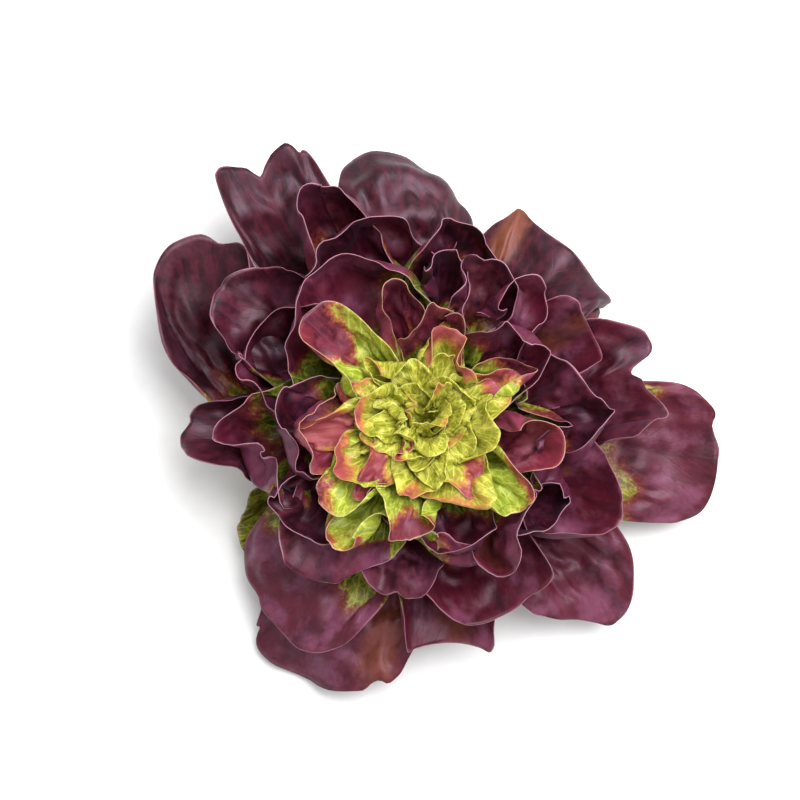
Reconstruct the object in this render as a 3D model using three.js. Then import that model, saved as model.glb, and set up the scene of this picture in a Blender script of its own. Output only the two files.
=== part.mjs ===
// A red butterhead lettuce, as cut: a short stem and the leaves that grow round it in a rosette.
// Millimetres, +Z up. The origin is the middle of the stem's flat cut, which the head stands on.
import * as THREE from "three";

const DEG = Math.PI / 180;

// ---- Driving dimensions ----
// The stem: a flat cut at the bottom, a shoulder, and a blunt cone that the leaves are seated on.
const STEM = { cut: 15, shoulder: 19, shoulderHeight: 7, top: 6, height: 56, cap: 1.5, chamfer: 2 };
const STEM_SIDES = 28;
const FIRST_SEAT = 5; // how far up the stem's side the lowest leaf is seated
const SEAT_STEP = 2.6; // between leaves seated one above the other
const LEAST_STEP = 0.15; // between leaves seated side by side
const FIRST_START = 10; // slope of the lowest leaf where it leaves the stem, in degrees
const LAST_START = 72; // and of the highest
const STEM_GAP = 0.4; // between a leaf's foot and the stem
const CAP_ROOM = 2; // above the stem's cap, kept free of leaves

const BLADE = 0.7; // thickness of a blade near its margin
const RIB = 0.6; // what the midrib adds at the foot
const SPACING = 2.5; // between the middles of two leaves that lie against each other
const CAUGHT = 2.6; // a leaf this far on another's wrong side is still pressed back
const STRAIGHT_ABOVE = 0.75; // least share of a gap that stands upright on a leaf's face
const FLOOR_GAP = 0.3; // under the lowest outer leaf
const BLADE_BACK = 104 * DEG; // how far round its ellipse a blade's margin runs from the tip
const BROADEST = 0.58; // where along the leaf its blade is broadest
const NOTCH_WIDE = 0.2; // half the notch's width, as a share of the half margin
const MARGIN_CUP = 1.7; // slope of a margin for each degree of its cup
const CLASP = 110; // slope of the foot's margins, which clasp the stem, in degrees
const CREASE_SHARPNESS = 8; // how soon beside the midrib a crease reaches its whole slope
const FIRST_HANDLE = 0.42; // of the midrib's curve, as a share of the line from foot to tip
const LAST_HANDLE = 0.36;
const SECTION_STEPS = 10;
const DISH_RISE = 2; // the rim is measured halfway up the dish's slope

const OUTER_GRID = { rows: 7, columns: 8 };
const HEART_GRID = { rows: 6, columns: 6 };
const ALONG_MARGIN = [0.25, 0.5, 0.75]; // places between two points where a margin is felt
const ALONG_BLADE = [0.5];

const OPEN_SWEEPS = 80; // while the bud opens
const SETTLE_SWEEPS = 36; // while the opened leaves settle against each other
const CLEAR_SWEEPS = 26; // at the end, when leaves are only pressed apart
const OPEN_PULL = 0.1;
const EVENING = 0.3; // how far a dent is spread over the leaf round it, each sweep

// ---- The leaves, from the outermost and lowest to the innermost ----
// at: compass angle of the tip, counted from +X towards +Y. reach: the tip's distance from the
// stem's axis. rise: its height. lean: the slope of the blade at the tip, 90 for upright.
// wide: the blade's width. Angles are in degrees.
// cup: how far the margins turn up, [towards smaller angles, towards larger]. fold: the crease at
// the midrib. twist: how far the blade turns about its midrib by the tip. swing: how far round the
// stem the foot is from the tip. turn: the tip's heading away from straight outwards.
// rim: how far the margin rises all round the blade, below 0 where it curls under. roll: above 1
// where the cup is left to the margins. wave: height of the margin's waves, ripples: how many,
// shift: where they start.
// blunt: above 1 for a fan, below 1 for a point. notch: how deep the tip is split. foot: its width
// where it leaves the stem.
const PLAIN = {
  cup: [20, 20],
  fold: 10,
  twist: 0,
  swing: 0,
  turn: 0,
  rim: 4,
  roll: 1.6,
  wave: 2,
  ripples: 1.5,
  shift: 0,
  blunt: 1.1,
  notch: 0,
  foot: 9,
};

const leaf = (at, reach, rise, lean, wide, more = {}) => ({
  ...PLAIN,
  at,
  reach,
  rise,
  lean,
  wide,
  ...more,
});

const OUTER = [
  leaf(212, 108, 13, 8, 48, { cup: [30, 34], wave: 4, ripples: 2 }),
  leaf(355, 146, 32, -6, 74, { rim: -6, cup: [-30, 24], fold: 6, shift: 1, blunt: 1.5, wave: 4 }),
  leaf(248, 138, 20, -18, 86, { rim: -8, cup: [-30, 26], fold: -8, turn: 14, wave: 5, blunt: 1.25 }),
  leaf(137, 138, 52, 10, 74, { rim: 6, cup: [66, -20], fold: 12, swing: -38, turn: -54, blunt: 1.2 }),
  leaf(122, 158, 60, 4, 56, { rim: 2, cup: [20, 18], fold: 14, notch: 0.07, wave: 1, blunt: 1.8, turn: -14 }),
  leaf(314, 134, 26, -14, 68, { rim: -5, cup: [-26, -18], fold: 34, wave: 2, blunt: 0.8, turn: -18 }),
  leaf(50, 122, 46, -16, 86, { rim: -6, cup: [-34, 14], fold: -26, turn: -2, blunt: 2, wave: 3 }),
  leaf(95, 142, 48, -34, 84, { rim: -10, cup: [-40, -26], fold: -6, wave: 5, blunt: 1.3, turn: -12 }),
  leaf(184, 116, 42, -8, 60, { rim: 6, cup: [26, 34], wave: 6, ripples: 2 }),
  leaf(230, 121, 36, -12, 78, { rim: -6, cup: [-34, 14], wave: 5, turn: -12, blunt: 1.3, fold: 4 }),
  leaf(277, 110, 28, -14, 60, { rim: 6, cup: [44, 14], fold: 12, wave: 3, blunt: 1.7, twist: 14 }),
  leaf(10, 118, 54, -4, 76, { rim: 7, cup: [34, 40], wave: 7, ripples: 2, shift: 0.5, notch: 0.12 }),
  leaf(31, 103, 54, 4, 60, { rim: 8, cup: [40, 44], fold: 24, wave: 3 }),
  leaf(338, 108, 56, 14, 74, { rim: 9, cup: [58, 26], fold: 8, wave: 5, turn: 10 }),
  leaf(298, 98, 46, 2, 80, { rim: 8, cup: [30, 44], wave: 5, blunt: 1.3, swing: 10 }),
  leaf(144, 122, 58, 18, 68, { rim: 9, cup: [26, 44], wave: 5, swing: -12 }),
  leaf(65, 104, 66, 24, 54, { rim: 10, cup: [52, 34], wave: 3, twist: -12 }),
  leaf(262, 88, 50, 18, 60, { rim: 8, cup: [46, 40], wave: 6, ripples: 2 }),
];

const MIDDLE = [
  leaf(114, 134, 86, 38, 46, { rim: 11, cup: [50, 46], fold: 4 }),
  leaf(196, 106, 62, 26, 66, { rim: 8, cup: [46, 24], wave: 5, turn: 16, swing: 12 }),
  leaf(232, 95, 62, 2, 64, { rim: -5, cup: [12, -34], turn: 12, wave: 4 }),
  leaf(111, 108, 88, 34, 70, { rim: 13, cup: [40, 38], fold: 4, wave: 5, shift: 0.3 }),
  leaf(80, 105, 86, 36, 58, { rim: 13, cup: [50, 42], fold: 6, wave: 4 }),
  leaf(8, 99, 82, 30, 64, { rim: 11, cup: [42, 46], fold: 6, wave: 6, ripples: 2 }),
  leaf(45, 94, 82, 34, 58, { rim: 11, cup: [36, 46], fold: 18, turn: -14, wave: 4 }),
  leaf(155, 105, 78, 38, 64, { rim: 14, cup: [56, 50], fold: 4, turn: -18, wave: 4 }),
  leaf(337, 93, 74, 34, 62, { rim: 12, cup: [52, 50], wave: 5, ripples: 2 }),
  leaf(213, 90, 72, 40, 50, { rim: 9, cup: [42, 28], fold: 6, swing: 14 }),
  leaf(306, 88, 72, 26, 72, { rim: 10, cup: [32, 42], fold: 2, wave: 6 }),
  leaf(88, 84, 93, 44, 40, { rim: 10, cup: [50, 44], fold: 14, turn: 30, swing: -12 }),
  leaf(130, 96, 92, 38, 80, { rim: 13, cup: [46, 34], fold: 6, wave: 6, ripples: 2 }),
  leaf(183, 80, 84, 52, 58, { rim: 10, cup: [34, 32], fold: 10, wave: 5 }),
  leaf(279, 77, 74, 40, 56, { rim: 10, cup: [40, 36], wave: 6, ripples: 2 }),
  leaf(58, 88, 92, 44, 46, { rim: 10, cup: [48, 46], fold: 20, twist: -16, turn: -10 }),
  leaf(41, 76, 90, 44, 50, { rim: 10, cup: [46, 40], fold: 18, twist: 16, wave: 4 }),
];

const INNER = [
  leaf(238, 80, 80, 36, 44, { cup: [36, 44], fold: 16, wave: 4, ripples: 2.5, twist: 16 }),
  leaf(355, 64, 88, 46, 44, { rim: 9, cup: [62, 60], fold: 10, turn: 14 }),
  leaf(102, 75, 95, 58, 36, { rim: 7, cup: [60, 60], fold: 30, wave: 3 }),
  leaf(184, 76, 86, 28, 50, { cup: [26, 20], fold: 18, wave: 5, ripples: 3, turn: 10 }),
  leaf(318, 70, 82, 38, 42, { cup: [50, 42], fold: 22, wave: 4, twist: -18, turn: -12 }),
  leaf(142, 78, 90, 32, 42, { cup: [30, 34], fold: 30, wave: 3, twist: 12 }),
  leaf(264, 70, 80, 40, 40, { cup: [36, 36], fold: 22, wave: 4, turn: 16 }),
  leaf(84, 68, 90, 38, 40, { cup: [28, 20], fold: 28, wave: 3, turn: -12 }),
  leaf(214, 70, 82, 32, 40, { cup: [36, 36], fold: 26, wave: 4, twist: -14 }),
  leaf(30, 62, 88, 36, 40, { cup: [34, 28], fold: 24, wave: 4, twist: 20 }),
];

// The heart: small leaves at the golden angle, each a little shorter and nearer the middle. They
// lean every way, and each is creased in a way of its own.
const HEART_LEAVES = 14;
const GOLDEN_ANGLE = 137.508;
const HEART = Array.from({ length: HEART_LEAVES }, (_, i) => {
  const inwards = i / (HEART_LEAVES - 1);
  const at = (295 + i * GOLDEN_ANGLE) % 360;
  const lopsided = 1 - 0.16 * Math.cos(at * DEG); // the heart is fuller on the side away from +X
  return leaf(
    at,
    THREE.MathUtils.lerp(60, 15, inwards ** 0.9) * lopsided + 3 * Math.sin(i * 2.7),
    THREE.MathUtils.lerp(86, 78, inwards) + 4 * Math.cos(i * 1.9),
    THREE.MathUtils.lerp(30, 60, inwards) + 8 * Math.sin(i * 2.3),
    THREE.MathUtils.lerp(44, 24, inwards),
    {
      cup: [22 + 22 * Math.sin(i * 2.1), 22 + 22 * Math.cos(i * 1.7)],
      fold: 12,
      wave: THREE.MathUtils.lerp(4, 1.5, inwards),
      ripples: 2.5,
      shift: i * 0.37,
      twist: 30 * Math.sin(i * 1.3),
      turn: 24 * Math.sin(i * 3.1),
      foot: THREE.MathUtils.lerp(6, 4.5, inwards),
    },
  );
});

const named = (word, leaves, grid) =>
  leaves.map((one, i) => ({ ...one, ...grid, name: word + "_leaf_" + String(i + 1).padStart(2, "0") }));

// ---- The stem ----
const CONE = new THREE.Vector2(STEM.top - STEM.shoulder, STEM.height - STEM.shoulderHeight);
const SIDE_LENGTH = CONE.length();

// The point of the stem's side at a distance up from its shoulder.
function sideAt(distance) {
  const share = distance / SIDE_LENGTH;
  return { radius: STEM.shoulder + CONE.x * share, height: STEM.shoulderHeight + CONE.y * share };
}

function stemRadius(height) {
  if (height > STEM.height + STEM.cap + CAP_ROOM) return 0;
  const share = THREE.MathUtils.clamp((height - STEM.shoulderHeight) / CONE.y, 0, 1);
  return STEM.shoulder + CONE.x * share;
}

function stemGeometry() {
  const profile = [
    [0, 0],
    [STEM.cut, 0],
    [STEM.cut + STEM.chamfer, STEM.chamfer / 2],
    [STEM.shoulder, STEM.shoulderHeight],
    [STEM.top, STEM.height],
    [0, STEM.height + STEM.cap],
  ].map(([x, y]) => new THREE.Vector2(x, y));
  return new THREE.LatheGeometry(profile, STEM_SIDES).rotateX(90 * DEG);
}

// ---- One leaf's middle surface ----
// A blade lies flat as an ellipse on a tapering foot. It is then bent along its midrib's curve,
// and each cross-section is bent by its own crease and cup.
function flatPoint(one, length, u, v) {
  const round = v * BLADE_BACK;
  const bend = (value) => Math.sign(value) * Math.abs(value) ** (1 / one.blunt);
  const split = 1 - one.notch * Math.exp(-((v / NOTCH_WIDE) ** 2));
  const marginX = length * (BROADEST + (1 - BROADEST) * bend(Math.cos(round))) * split;
  const marginY = (one.wide / 2) * bend(Math.sin(round));
  return { x: marginX * u, y: THREE.MathUtils.lerp((v * one.foot) / 2, marginY, u) };
}

function midrib(one) {
  const turned = (angle) => new THREE.Vector3(Math.cos(angle), Math.sin(angle), 0);
  const footOut = turned((one.at - one.swing) * DEG);
  const seat = sideAt(one.seat);
  const foot = footOut.clone().multiplyScalar(seat.radius + STEM_GAP + BLADE);
  foot.z = seat.height;
  const tip = turned(one.at * DEG).multiplyScalar(one.reach);
  tip.z = one.rise;
  const heading = turned((one.at + one.turn) * DEG);
  const climb = (direction, angle) =>
    direction.clone().multiplyScalar(Math.cos(angle)).setZ(Math.sin(angle));
  const chord = foot.distanceTo(tip);
  return new THREE.CubicBezierCurve3(
    foot,
    foot.clone().addScaledVector(climb(footOut, one.start * DEG), FIRST_HANDLE * chord),
    tip.clone().addScaledVector(climb(heading, one.lean * DEG), -LAST_HANDLE * chord),
    tip,
  );
}

// The slope of a cross-section at a distance from the midrib, as a share of the half width.
function slopeAt(one, side, share, along) {
  const cup = one.cup[side > 0 ? 1 : 0];
  const clasp = CLASP * share * (1 - along) ** 2;
  const open = THREE.MathUtils.smoothstep(along, 0.1, 0.8);
  const crease = one.fold * (1 - Math.exp(-share * CREASE_SHARPNESS));
  return (crease + cup * share ** one.roll * open * MARGIN_CUP + clasp) * DEG;
}

// Where a point at y across the flat blade comes to lie once its cross-section is bent.
function sectionPoint(one, y, along) {
  const side = Math.sign(y);
  const step = Math.abs(y) / SECTION_STEPS;
  let across = 0;
  let up = 0;
  for (let k = 0; k < SECTION_STEPS; k++) {
    const slope = slopeAt(one, side, ((k + 0.5) * step) / (one.wide / 2), along);
    across += Math.cos(slope) * step;
    up += Math.sin(slope) * step;
  }
  return { across: across * side, up };
}

function middleSurface(one) {
  const curve = midrib(one);
  const length = curve.getLength();
  const points = [];
  for (let i = 0; i <= one.rows; i++) {
    for (let j = 0; j <= one.columns; j++) {
      const u = i / one.rows;
      const v = (2 * j) / one.columns - 1;
      const flat = flatPoint(one, length, u, v);
      const along = Math.max(flat.x / length, 0);
      const centre = curve.getPointAt(along);
      const ahead = curve.getTangentAt(along);
      const bearing = (one.at - one.swing * (1 - along) + one.turn * along) * DEG;
      const sideways = new THREE.Vector3(-Math.sin(bearing), Math.cos(bearing), 0);
      sideways.addScaledVector(ahead, -sideways.dot(ahead)).normalize();
      sideways.applyAxisAngle(ahead, one.twist * along ** 1.5 * DEG);
      const inner = new THREE.Vector3().crossVectors(ahead, sideways);
      const section = sectionPoint(one, flat.y, along);
      const ripple = one.wave * u ** 4 * Math.sin(Math.PI * (v * one.ripples + 2 * one.shift));
      const dish = one.rim * DISH_RISE * THREE.MathUtils.smoothstep(u, 0.5, 1.25) * along;
      points.push(
        centre
          .clone()
          .addScaledVector(sideways, section.across)
          .addScaledVector(inner, section.up + ripple + dish),
      );
    }
  }
  return points;
}

// The same leaf as a bud would hold it: wrapped round the stem's axis on a cone of its own. Each
// leaf's cone is steeper and seated higher than the one before, so none of them cross.
function budSurface(one) {
  const length = midrib(one).getLength();
  const seat = sideAt(one.seat);
  const slope = one.start * DEG;
  const points = [];
  for (let i = 0; i <= one.rows; i++) {
    for (let j = 0; j <= one.columns; j++) {
      const flat = flatPoint(one, length, i / one.rows, (2 * j) / one.columns - 1);
      const radius = seat.radius + STEM_GAP + BLADE + flat.x * Math.cos(slope);
      const bearing = (one.at - one.swing) * DEG + flat.y / radius;
      const height = seat.height + flat.x * Math.sin(slope);
      points.push(
        new THREE.Vector3(radius * Math.cos(bearing), radius * Math.sin(bearing), height),
      );
    }
  }
  return points;
}

// ---- Seats on the stem ----
// Each leaf is seated above the one before, and clear of the feet that it stands over.
function seatLeaves(leaves) {
  const seated = [];
  let highest = FIRST_SEAT;
  for (const one of leaves) {
    one.seat = highest + LEAST_STEP;
    const bearing = one.at - one.swing;
    for (const other of seated) {
      const apart = Math.abs(((bearing - other.bearing + 540) % 360) - 180) * DEG;
      const radius = sideAt(Math.min(other.seat, SIDE_LENGTH)).radius + STEM_GAP;
      const overlapping = apart * radius < (one.foot + other.foot) / 2;
      if (overlapping) one.seat = Math.max(one.seat, other.seat + SEAT_STEP);
    }
    highest = one.seat;
    seated.push({ bearing, seat: one.seat, foot: one.foot });
  }
  const shrink = Math.min(1, (SIDE_LENGTH - 1) / highest);
  leaves.forEach((one, order) => {
    one.seat *= shrink;
    one.start = THREE.MathUtils.lerp(FIRST_START, LAST_START, (order / (leaves.length - 1)) ** 0.8);
  });
}

// ---- Leaves that lie against each other press each other apart ----
const NEIGHBOURS = [
  [1, 0],
  [-1, 0],
  [0, 1],
  [0, -1],
];
// Rows and columns from one end of a link to the other, and its stiffness. The last two keep bends.
const LINK_REACHES = [
  [1, 0, 0.8],
  [0, 1, 0.8],
  [1, 1, 0.5],
  [1, -1, 0.5],
  [2, 0, 0.35],
  [0, 2, 0.35],
];

// A sheet keeps its points, its rest lengths and its shape as grown. Sheets are in order from the
// outermost in, so of two sheets the later one belongs on the inner side of the earlier one.
class Sheet {
  constructor(one, order) {
    Object.assign(this, { one, order, rows: one.rows, columns: one.columns });
    this.firstFree = one.columns + 1; // the foot's own points stay on the stem
    this.bud = budSurface(one);
    this.grown = middleSurface(one);
    this.links = this.makeLinks();
    this.samples = this.makeSamples();
    this.rounds = this.grown.map((_, k) => this.trianglesRound(k));
    this.flat = new Float64Array(3 * this.grown.length); // the points again, for a quick search
    this.points = this.bud.map((p) => p.clone());
    this.normals = this.points.map(() => new THREE.Vector3());
    this.box = new THREE.Box3();
    this.refresh();
  }

  index(i, j) {
    return i * (this.columns + 1) + j;
  }

  inside(i, j) {
    return i >= 0 && j >= 0 && i <= this.rows && j <= this.columns;
  }

  makeLinks() {
    const links = [];
    for (let i = 0; i <= this.rows; i++) {
      for (let j = 0; j <= this.columns; j++) {
        for (const [di, dj, stiffness] of LINK_REACHES) {
          if (!this.inside(i + di, j + dj)) continue;
          const a = this.index(i, j);
          const b = this.index(i + di, j + dj);
          links.push({ a, b, stiffness, rest: this.grown[a].distanceTo(this.grown[b]) });
        }
      }
    }
    return links;
  }

  // Where a sheet is felt by others: its points, places between them, and more along its margin.
  makeSamples() {
    const samples = this.grown.map((_, k) => ({ corners: [k], shares: [1] }));
    const between = (a, b, places) => {
      for (const share of places) samples.push({ corners: [a, b], shares: [1 - share, share] });
    };
    for (let i = 0; i <= this.rows; i++) {
      for (let j = 0; j <= this.columns; j++) {
        const k = this.index(i, j);
        const down = k + this.columns + 1;
        const atSide = j === 0 || j === this.columns;
        if (i < this.rows) between(k, down, atSide ? ALONG_MARGIN : ALONG_BLADE);
        if (j < this.columns) between(k, k + 1, i === this.rows ? ALONG_MARGIN : ALONG_BLADE);
        if (i < this.rows && j < this.columns) between(k, down + 1, ALONG_BLADE);
      }
    }
    return samples;
  }

  refresh() {
    const down = new THREE.Vector3();
    const across = new THREE.Vector3();
    for (let i = 0; i <= this.rows; i++) {
      for (let j = 0; j <= this.columns; j++) {
        down.copy(this.points[this.index(Math.min(i + 1, this.rows), j)]);
        across.copy(this.points[this.index(i, Math.min(j + 1, this.columns))]);
        down.sub(this.points[this.index(Math.max(i - 1, 0), j)]);
        across.sub(this.points[this.index(i, Math.max(j - 1, 0))]);
        this.normals[this.index(i, j)].crossVectors(down, across).normalize();
      }
    }
    this.box.setFromPoints(this.points);
    this.points.forEach((p, k) => p.toArray(this.flat, 3 * k));
  }

  keepLengths() {
    const along = new THREE.Vector3();
    for (const { a, b, stiffness, rest } of this.links) {
      const shareA = a < this.firstFree ? 0 : 1;
      const shareB = b < this.firstFree ? 0 : 1;
      if (shareA + shareB === 0) continue;
      along.subVectors(this.points[b], this.points[a]);
      const length = along.length();
      along.multiplyScalar((stiffness * (length - rest)) / length / (shareA + shareB));
      this.points[a].addScaledVector(along, shareA);
      this.points[b].addScaledVector(along, -shareB);
    }
  }

  // Draws the points towards the shape that is partly opened from the bud, and spreads a dent
  // over the leaf round it.
  open(opened, pull, evening) {
    const aims = this.bud.map((p, k) => p.clone().lerp(this.grown[k], opened));
    const dents = this.points.map((p, k) => p.clone().sub(aims[k]));
    const even = new THREE.Vector3();
    for (let i = 0; i <= this.rows; i++) {
      for (let j = 0; j <= this.columns; j++) {
        const k = this.index(i, j);
        even.set(0, 0, 0);
        let count = 0;
        for (const [di, dj] of NEIGHBOURS) {
          if (!this.inside(i + di, j + dj)) continue;
          even.add(dents[this.index(i + di, j + dj)]);
          count++;
        }
        even.divideScalar(count).lerp(dents[k], 1 - evening);
        this.points[k].copy(aims[k]);
        if (k >= this.firstFree) this.points[k].addScaledVector(even, 1 - pull);
      }
    }
  }

  place(sample, at) {
    at.set(0, 0, 0);
    sample.corners.forEach((c, n) => at.addScaledVector(this.points[c], sample.shares[n]));
    return at;
  }

  // Moves the points round a sample so that the sample itself moves by the whole push.
  push(corners, shares, direction, amount) {
    let spread = 0;
    for (const share of shares) spread += share * share;
    corners.forEach((c, n) => {
      if (c < this.firstFree) return;
      this.points[c].addScaledVector(direction, (amount * shares[n]) / spread);
    });
  }

  keepClear() {
    const out = new THREE.Vector3();
    for (const sample of this.samples) {
      this.place(sample, onSheet);
      const low = FLOOR_GAP + BLADE - onSheet.z;
      if (low > 0) this.push(sample.corners, sample.shares, UP, low);
      out.set(onSheet.x, onSheet.y, 0);
      const close = stemRadius(onSheet.z) + STEM_GAP + BLADE - out.length();
      if (close > 0) this.push(sample.corners, sample.shares, out.normalize(), close);
    }
  }

  nearestIndex(p) {
    const { flat } = this;
    let best = 0;
    let least = Infinity;
    for (let k = 0; k < flat.length; k += 3) {
      const d = (flat[k] - p.x) ** 2 + (flat[k + 1] - p.y) ** 2 + (flat[k + 2] - p.z) ** 2;
      if (d < least) {
        least = d;
        best = k;
      }
    }
    return best / 3;
  }

  // The triangles of the cells round a grid point.
  trianglesRound(k) {
    const i0 = Math.floor(k / (this.columns + 1));
    const j0 = k % (this.columns + 1);
    const found = [];
    for (let i = Math.max(i0 - 1, 0); i <= Math.min(i0, this.rows - 1); i++) {
      for (let j = Math.max(j0 - 1, 0); j <= Math.min(j0, this.columns - 1); j++) {
        found.push(...cellTriangles(this.index(i, j), this.columns));
      }
    }
    return found;
  }
}

// A cell's two triangles, facing the leaf's inner side.
function cellTriangles(corner, columns) {
  const next = corner + columns + 1;
  return [
    [corner, next, next + 1],
    [corner, next + 1, corner + 1],
  ];
}

const UP = new THREE.Vector3(0, 0, 1);
const triangle = new THREE.Triangle();
const here = new THREE.Vector3();
const onSheet = new THREE.Vector3();
const closest = new THREE.Vector3();
const shares = new THREE.Vector3();
const normal = new THREE.Vector3();
const away = new THREE.Vector3();

// Presses one sample of a sheet away from another sheet.
function pressSample(sheet, sample, other) {
  sheet.place(sample, here);
  if (other.box.distanceToPoint(here) > CAUGHT) return;
  let least = Infinity;
  let corners = null;
  for (const tried of other.rounds[other.nearestIndex(here)]) {
    triangle.set(other.points[tried[0]], other.points[tried[1]], other.points[tried[2]]);
    triangle.closestPointToPoint(here, onSheet);
    const distance = onSheet.distanceTo(here);
    if (distance >= least) continue;
    least = distance;
    corners = tried;
    closest.copy(onSheet);
  }
  if (least > CAUGHT) return;
  triangle.set(other.points[corners[0]], other.points[corners[1]], other.points[corners[2]]);
  triangle.getBarycoord(closest, shares);
  const weights = shares.toArray();
  normal.set(0, 0, 0);
  corners.forEach((c, n) => normal.addScaledVector(other.normals[c], weights[n]));
  normal.normalize();
  away.subVectors(here, closest);
  // Two leaves that face the same way are nested. Two that face each other across the head only
  // keep apart.
  const nested = normal.dot(sheet.normals[sample.corners[0]]) > 0;
  const side = nested ? Math.sign(sheet.order - other.order) : Math.sign(away.dot(normal));
  const height = away.dot(normal) * side;
  const above = Math.abs(height) > STRAIGHT_ABOVE * least;
  const amount = SPACING - (above ? height : least);
  if (amount <= 0 || least < 1e-6) return;
  if (above) away.copy(normal).multiplyScalar(side);
  else away.divideScalar(least);
  sheet.push(sample.corners, sample.shares, away, amount / 2);
  other.push(corners, weights, away, -amount / 2);
}

function pressApart(sheets) {
  const near = new THREE.Box3();
  for (const sheet of sheets) {
    for (const other of sheets) {
      if (sheet === other) continue;
      near.copy(other.box).expandByScalar(CAUGHT);
      if (!near.intersectsBox(sheet.box)) continue;
      for (const sample of sheet.samples) pressSample(sheet, sample, other);
    }
  }
  for (const sheet of sheets) {
    sheet.keepClear();
    sheet.refresh();
  }
}

// The bud opens, the opened leaves settle, and at last they are only pressed apart.
function relax(sheets) {
  const sweep = (opened, pull, evening) => {
    for (const sheet of sheets) {
      sheet.open(opened, pull, evening);
      sheet.keepLengths();
      sheet.refresh();
    }
    pressApart(sheets);
  };
  for (let n = 0; n < OPEN_SWEEPS; n++) {
    sweep(THREE.MathUtils.smoothstep(n / OPEN_SWEEPS, 0, 1), OPEN_PULL, EVENING);
  }
  for (let n = 0; n < SETTLE_SWEEPS; n++) {
    const unsettled = 1 - n / SETTLE_SWEEPS;
    sweep(1, OPEN_PULL * unsettled, EVENING * unsettled);
  }
  for (let n = 0; n < CLEAR_SWEEPS; n++) pressApart(sheets);
}

// ---- A sheet given its thickness, as one closed solid ----
function leafGeometry(sheet) {
  const { rows, columns, points, normals } = sheet;
  const count = points.length;
  const position = new Float32Array(count * 6);
  points.forEach((p, k) => {
    const u = Math.floor(k / (columns + 1)) / rows;
    const v = (2 * (k % (columns + 1))) / columns - 1;
    const thick = BLADE + RIB * (1 - u) ** 2 * (1 - v * v);
    const inner = p.clone().addScaledVector(normals[k], BLADE / 2);
    const outer = p.clone().addScaledVector(normals[k], BLADE / 2 - thick);
    inner.toArray(position, 3 * k);
    outer.toArray(position, 3 * (count + k));
  });
  const faces = [];
  for (let i = 0; i < rows; i++) {
    for (let j = 0; j < columns; j++) {
      for (const [a, b, c] of cellTriangles(sheet.index(i, j), columns)) {
        faces.push(a, b, c);
        faces.push(count + a, count + c, count + b);
      }
    }
  }
  const rim = rimOf(rows, columns);
  rim.forEach((a, n) => {
    const b = rim[(n + 1) % rim.length];
    faces.push(a, b, count + b, a, count + b, count + a);
  });
  const geometry = new THREE.BufferGeometry();
  geometry.setAttribute("position", new THREE.BufferAttribute(position, 3));
  geometry.setIndex(faces);
  geometry.computeVertexNormals();
  return geometry;
}

// The grid's border, in the order that keeps the faces of the rim pointing out.
function rimOf(rows, columns) {
  const border = [];
  for (let j = 0; j < columns; j++) border.push(j);
  for (let i = 0; i < rows; i++) border.push(i * (columns + 1) + columns);
  for (let j = columns; j > 0; j--) border.push(rows * (columns + 1) + j);
  for (let i = rows; i > 0; i--) border.push(i * (columns + 1));
  return border;
}

// ---- Materials ----
const finish = (color, roughness) => new THREE.MeshStandardMaterial({ color, roughness, metalness: 0 });
const MATERIALS = {
  stem: finish(0xd8dfae, 0.6),
  outer: finish(0x3a1826, 0.42),
  middle: finish(0x48202f, 0.42),
  inner: finish(0x8a4a4c, 0.45),
  heart: finish(0xbcc456, 0.5),
};

// ---- The head ----
const leaves = [
  ...named("outer", OUTER, OUTER_GRID),
  ...named("middle", MIDDLE, OUTER_GRID),
  ...named("inner", INNER, HEART_GRID),
  ...named("heart", HEART, HEART_GRID),
];
seatLeaves(leaves);
const sheets = leaves.map((one, order) => new Sheet(one, order));
relax(sheets);

const lettuce = new THREE.Group();
const stem = new THREE.Mesh(stemGeometry(), MATERIALS.stem);
stem.name = "stem";
lettuce.add(stem);
for (const sheet of sheets) {
  const kind = sheet.one.name.split("_")[0];
  const mesh = new THREE.Mesh(leafGeometry(sheet), MATERIALS[kind]);
  mesh.name = sheet.one.name;
  lettuce.add(mesh);
}

export default lettuce;
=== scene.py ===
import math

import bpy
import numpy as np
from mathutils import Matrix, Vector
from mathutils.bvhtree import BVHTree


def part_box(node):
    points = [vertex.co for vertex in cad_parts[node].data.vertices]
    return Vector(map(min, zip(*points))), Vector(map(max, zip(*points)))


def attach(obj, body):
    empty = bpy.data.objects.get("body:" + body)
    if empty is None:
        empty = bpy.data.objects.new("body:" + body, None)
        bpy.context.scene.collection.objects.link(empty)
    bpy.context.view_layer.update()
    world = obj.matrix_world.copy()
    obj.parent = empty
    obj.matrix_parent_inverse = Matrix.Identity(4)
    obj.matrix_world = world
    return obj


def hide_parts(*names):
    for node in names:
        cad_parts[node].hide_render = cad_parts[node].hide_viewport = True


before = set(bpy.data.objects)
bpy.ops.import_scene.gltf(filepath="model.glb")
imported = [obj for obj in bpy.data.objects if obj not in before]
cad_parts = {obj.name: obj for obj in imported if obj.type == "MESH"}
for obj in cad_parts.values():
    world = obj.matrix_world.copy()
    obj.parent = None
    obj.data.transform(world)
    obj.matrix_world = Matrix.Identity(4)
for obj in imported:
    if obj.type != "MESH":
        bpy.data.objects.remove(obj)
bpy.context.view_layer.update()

# The looks of a head of red butterhead lettuce. Each CAD leaf is a plain bent blade. Here its
# middle surface is read back from its solid, grown a little too large for its own outline so that
# it puckers and cups, pressed away from its neighbours, given fine blisters and ribs, and
# thickened. The heart also gets small leaves that the CAD leaves out.
# Lengths are in millimetres until a mesh is made, in metres, in the CAD frame.

METRES = 0.001

# ---- How the CAD leaves are built: rows from foot to margin, columns across ----
CAD_GRID = {"outer": (7, 8), "middle": (7, 8), "inner": (6, 6), "heart": (6, 6)}
CAD_BLADE = 0.7  # thickness of a blade

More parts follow.
